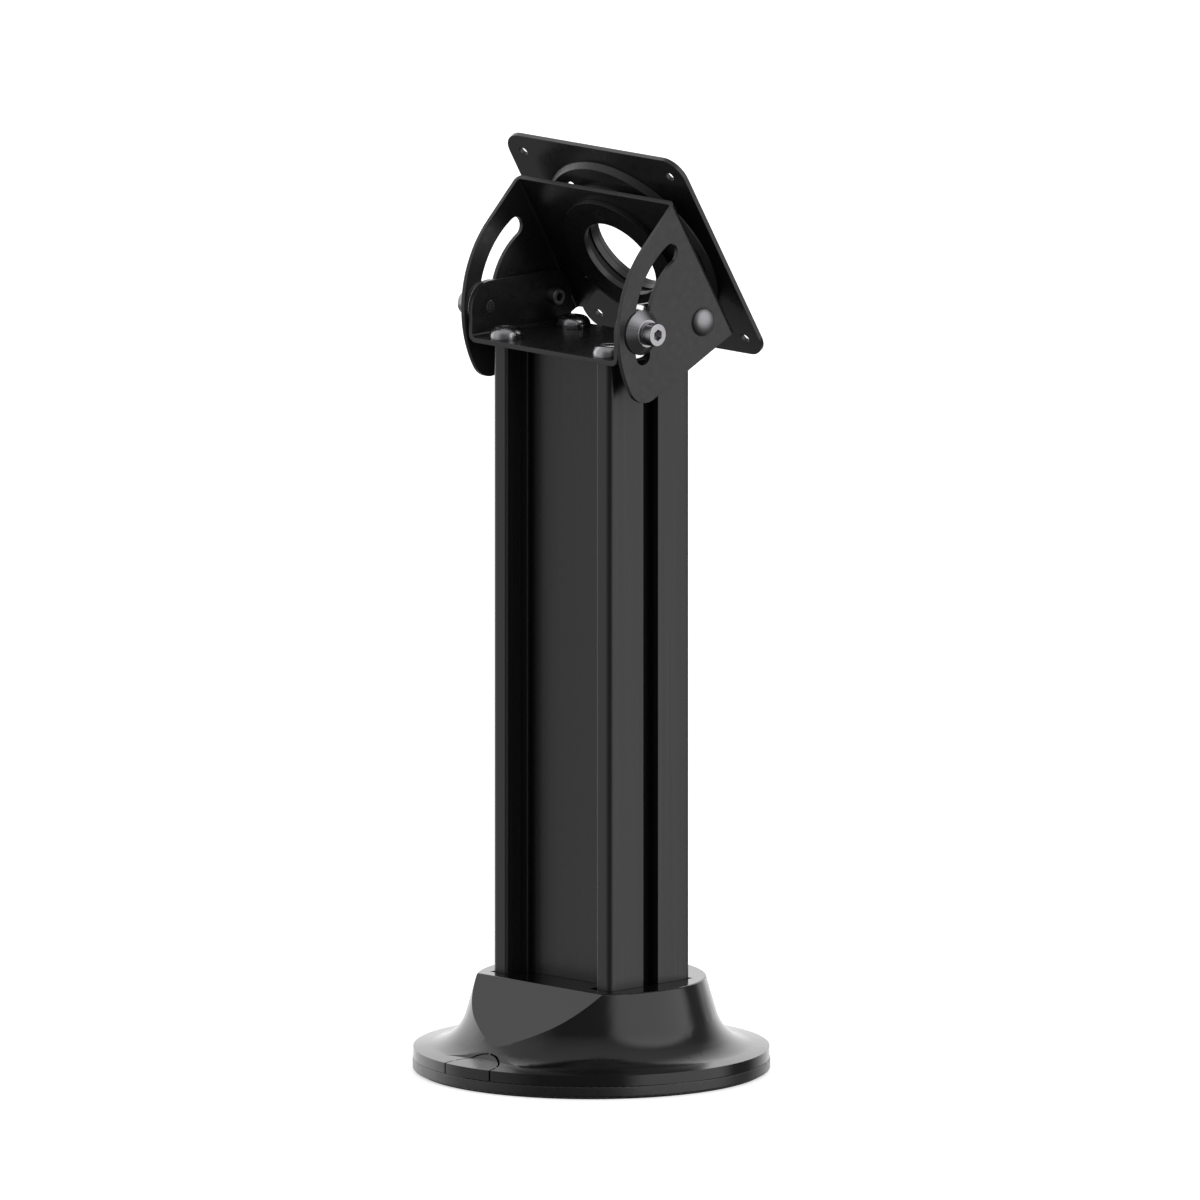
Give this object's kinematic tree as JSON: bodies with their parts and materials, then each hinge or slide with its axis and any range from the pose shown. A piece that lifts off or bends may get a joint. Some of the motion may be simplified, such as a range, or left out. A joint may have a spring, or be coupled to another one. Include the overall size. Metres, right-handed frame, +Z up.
{
  "type": "display stand",
  "caption": "Counter-top column stand with a round covered foot and a tilting, turning square plate that carries a screen.",
  "frame": {"origin": "centre of the foot's underside, on the counter", "axes": "+Z up, +X along the tilt hinge, +Y towards the side that the screen faces, -Y the cable side"},
  "size_m": [0.173, 0.173, 0.4537],
  "materials": {
    "pad_rubber": "matte",
    "black_steel": "matte black powder coat",
    "black_aluminium": "matte black powder coat",
    "cover_plastic": "semi-gloss black",
    "zinc_steel": "bright zinc plate",
    "black_screws": "black oxide",
    "glide_plastic": "smooth dark plastic"
  },
  "bodies": {
    "stand": {"base_pad": "pad_rubber", "base_plate": "black_steel", "base_screws": "zinc_steel", "column": "black_aluminium", "yoke": "black_steel", "yoke_screws": "zinc_steel", "clamp_insert_left": "zinc_steel", "clamp_insert_right": "zinc_steel", "pivot_washer_left": "glide_plastic", "pivot_washer_right": "glide_plastic", "friction_washer_left": "zinc_steel", "friction_washer_right": "zinc_steel", "pivot_screw_left": "zinc_steel", "pivot_screw_right": "zinc_steel", "clamp_cone_left": "zinc_steel", "clamp_cone_right": "zinc_steel"},
    "cover": {"base_cover": "cover_plastic", "cable_tab": "cover_plastic"},
    "tilt": {"tilt_bracket": "black_steel", "stop_pin": "zinc_steel", "glide_washer": "glide_plastic"},
    "swivel": {"swivel_hub": "black_steel", "swivel_disc": "black_steel", "retaining_ring": "black_steel", "ring_screws": "black_screws", "mount_plate": "black_steel", "plate_screws": "black_screws"},
    "clamp_left": {"clamp_screw_left": "zinc_steel"},
    "clamp_right": {"clamp_screw_right": "zinc_steel"}
  },
  "joints": [
    {"name": "screen_tilt", "type": "hinge", "parent": "stand", "child": "tilt", "pos_m": [0, 0.022, 0.371], "axis": [1, 0, 0], "range_deg": [-16, 57]},
    {"name": "screen_turn", "type": "hinge", "parent": "tilt", "child": "swivel", "pos_m": [0, 0.0261, 0.39913], "axis": [0, -0.8572, -0.515], "range_deg": [0, 90]},
    {"name": "cover_lift", "type": "slide", "parent": "stand", "child": "cover", "axis": [0, 0, 1], "range_m": [0, 0.25]},
    {"name": "clamp_turn_left", "type": "hinge", "parent": "stand", "child": "clamp_left", "pos_m": [-0.0575, -0.0203, 0.371], "axis": [1, 0, 0], "range_deg": [0, 270]},
    {"name": "clamp_turn_right", "type": "hinge", "parent": "stand", "child": "clamp_right", "pos_m": [0.0575, -0.0203, 0.371], "axis": [1, 0, 0], "range_deg": [0, 270]}
  ]
}
